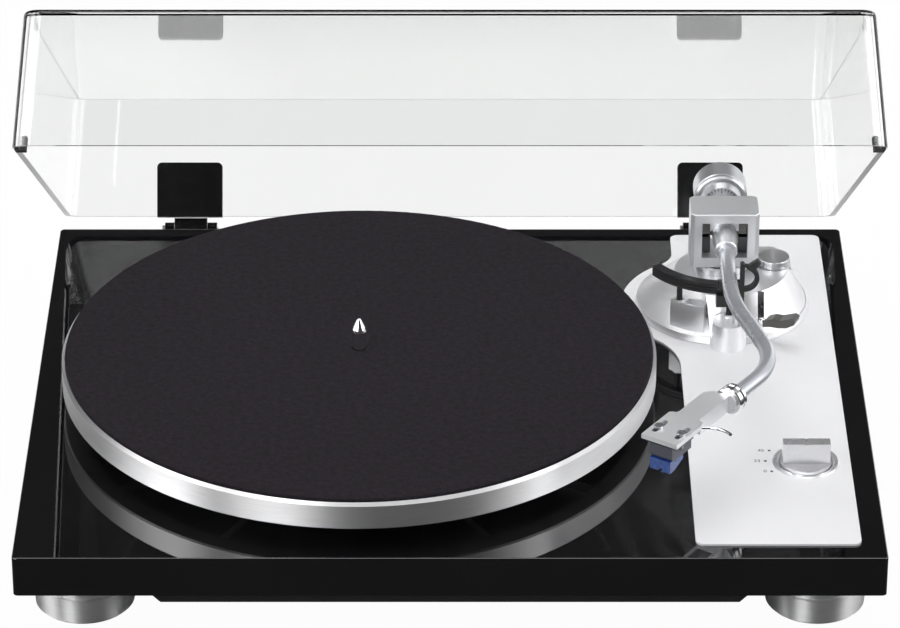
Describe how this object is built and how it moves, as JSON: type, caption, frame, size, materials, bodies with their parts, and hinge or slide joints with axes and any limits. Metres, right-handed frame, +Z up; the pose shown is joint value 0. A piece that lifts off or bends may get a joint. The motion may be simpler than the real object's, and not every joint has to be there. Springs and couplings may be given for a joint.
{
  "type": "turntable",
  "caption": "Direct drive record player with an S-shaped tone arm, speed selector and a clear hinged dust cover.",
  "frame": {"origin": "On the record spindle's axis, at the top face of the mat.", "axes": "+X to the right along the wider side, +Y to the rear hinges, +Z up."},
  "size_m": [0.42, 0.3703, 0.291],
  "materials": {
    "lacquer_black": "black high gloss lacquer on board",
    "deck_aluminium": "fine bead blasted",
    "tray_black": "satin moulded",
    "foot_aluminium": "turned and polished",
    "rubber": "matt rubber",
    "steel": "zinc plated",
    "circuit_board": "solder resist",
    "copper": "enamelled winding",
    "bearing_brass": "turned",
    "panel_black": "satin",
    "jack_gold": "gold plated",
    "hinge_black": "moulded",
    "arm_silver": "satin silver",
    "pillar_grey": "anodised",
    "arm_black": "moulded",
    "knob_silver": "turned",
    "platter_aluminium": "turned rim with polished bevel",
    "mat_felt": "felt",
    "spindle_steel": "ground and polished",
    "magnet": "sintered ferrite",
    "cover_clear": "clear acrylic",
    "seat_dark": "hardened",
    "tube_silver": "satin tube",
    "shell_silver": "satin casting",
    "cartridge_grey": "moulded",
    "stylus_blue": "translucent moulding",
    "collar_silver": "polished",
    "weight_silver": "satin",
    "lever_grey": "moulded"
  },
  "bodies": {
    "root": {"plinth": "lacquer_black", "deck_plate": "deck_aluminium", "bottom_tray": "tray_black", "foot_front_left": "foot_aluminium", "foot_front_right": "foot_aluminium", "foot_rear_left": "foot_aluminium", "foot_rear_right": "foot_aluminium", "foot_pads": "rubber", "pan_screws": "steel", "motor_plate": "steel", "stator_board": "circuit_board", "stator_coils": "copper", "bearing_housing": "bearing_brass", "drive_board": "circuit_board", "rear_panel": "panel_black", "phono_jacks": "jack_gold", "ground_post": "jack_gold", "power_inlet": "panel_black", "output_switch": "panel_black", "hinge_bases": "hinge_black", "hinge_pins": "steel", "arm_base": "arm_silver", "arm_pillar": "pillar_grey", "pillar_nut": "steel", "yaw_bearings": "steel", "lift_housing": "arm_silver", "lift_guide": "arm_silver", "arm_rest": "arm_black", "selector_dish": "knob_silver", "selector_switch": "panel_black"},
    "platter_body": {"platter": "platter_aluminium", "mat": "mat_felt", "spindle_shaft": "spindle_steel", "rotor_yoke": "steel", "rotor_magnet": "magnet"},
    "cover": {"dust_cover": "cover_clear", "cover_bumpers": "rubber", "hinge_clip_left": "hinge_black", "hinge_clip_right": "hinge_black"},
    "gimbal": {"gimbal_frame": "arm_silver", "gimbal_cap": "arm_silver", "knife_seats": "seat_dark"},
    "tone_arm": {"arm_yoke": "arm_silver", "knife_edges": "steel", "arm_tube": "tube_silver", "headshell": "shell_silver", "finger_lift": "steel", "cartridge_body": "cartridge_grey", "stylus_holder": "stylus_blue", "cartridge_screws": "steel"},
    "collar": {"headshell_collar": "collar_silver"},
    "weight": {"counterweight": "weight_silver"},
    "dial": {"dial_ring": "weight_silver"},
    "lift": {"lift_bar": "arm_black"},
    "cue": {"cue_lever": "spindle_steel", "cue_paddle": "lever_grey"},
    "clip": {"arm_clip": "arm_black"},
    "skate": {"anti_skate_knob": "knob_silver"},
    "selector": {"selector_knob": "knob_silver"},
    "slider": {"switch_slider": "panel_black"}
  },
  "joints": [
    {"name": "platter_spin", "type": "hinge", "parent": "root", "child": "platter_body", "pos_m": [0, 0, 0], "axis": [0, 0, 1], "continuous": true},
    {"name": "cover_hinge", "type": "hinge", "parent": "root", "child": "cover", "pos_m": [0.0458, 0.184, -0.032], "axis": [-1, 0, 0], "range_deg": [-33.7, 26]},
    {"name": "arm_swing", "type": "hinge", "parent": "root", "child": "gimbal", "pos_m": [0.188, 0.091, 0], "axis": [0, 0, -1], "range_deg": [0, 42]},
    {"name": "arm_tilt", "type": "hinge", "parent": "gimbal", "child": "tone_arm", "pos_m": [0.188, 0.091, 0.0159], "axis": [-1, 0, 0], "range_deg": [0, 12]},
    {"name": "collar_turn", "type": "hinge", "parent": "tone_arm", "child": "collar", "pos_m": [0.18475, -0.081, 0.018], "axis": [-0.5592, -0.829, 0], "range_deg": [0, 90]},
    {"name": "weight_slide", "type": "slide", "parent": "tone_arm", "child": "weight", "axis": [0, 1, 0], "range_m": [-0.006, 0.003]},
    {"name": "dial_turn", "type": "hinge", "parent": "weight", "child": "dial", "pos_m": [0.1882, 0.122, 0.018], "axis": [0, 1, 0], "range_deg": [-361, 181]},
    {"name": "cue_turn", "type": "hinge", "parent": "root", "child": "cue", "pos_m": [0.2063, 0.0718, -0.0168], "axis": [-1, 0, 0], "range_deg": [0, 44.1]},
    {"name": "lift_slide", "type": "slide", "parent": "root", "child": "lift", "axis": [0, 0, 1], "range_m": [0, 0.0035]},
    {"name": "clip_turn", "type": "hinge", "parent": "root", "child": "clip", "pos_m": [0.1902, 0.048, 0.0112], "axis": [0, -1, 0], "range_deg": [0, 75]},
    {"name": "anti_skate_turn", "type": "hinge", "parent": "root", "child": "skate", "pos_m": [0.2146, 0.093, 0], "axis": [0, 0, -1], "range_deg": [0, 270]},
    {"name": "selector_turn", "type": "hinge", "parent": "root", "child": "selector", "pos_m": [0.2216, -0.0713, 0], "axis": [0, 0, 1], "range_deg": [-30, 30]},
    {"name": "switch_slide", "type": "slide", "parent": "root", "child": "slider", "axis": [1, 0, 0], "range_m": [0, 0.004]}
  ],
  "couplings": [
    {"joint": "dial_turn", "follows": "weight_slide", "rad_per_m": 1047.2},
    {"joint": "cue_turn", "follows": "lift_slide", "rad_per_m": 219.41}
  ]
}
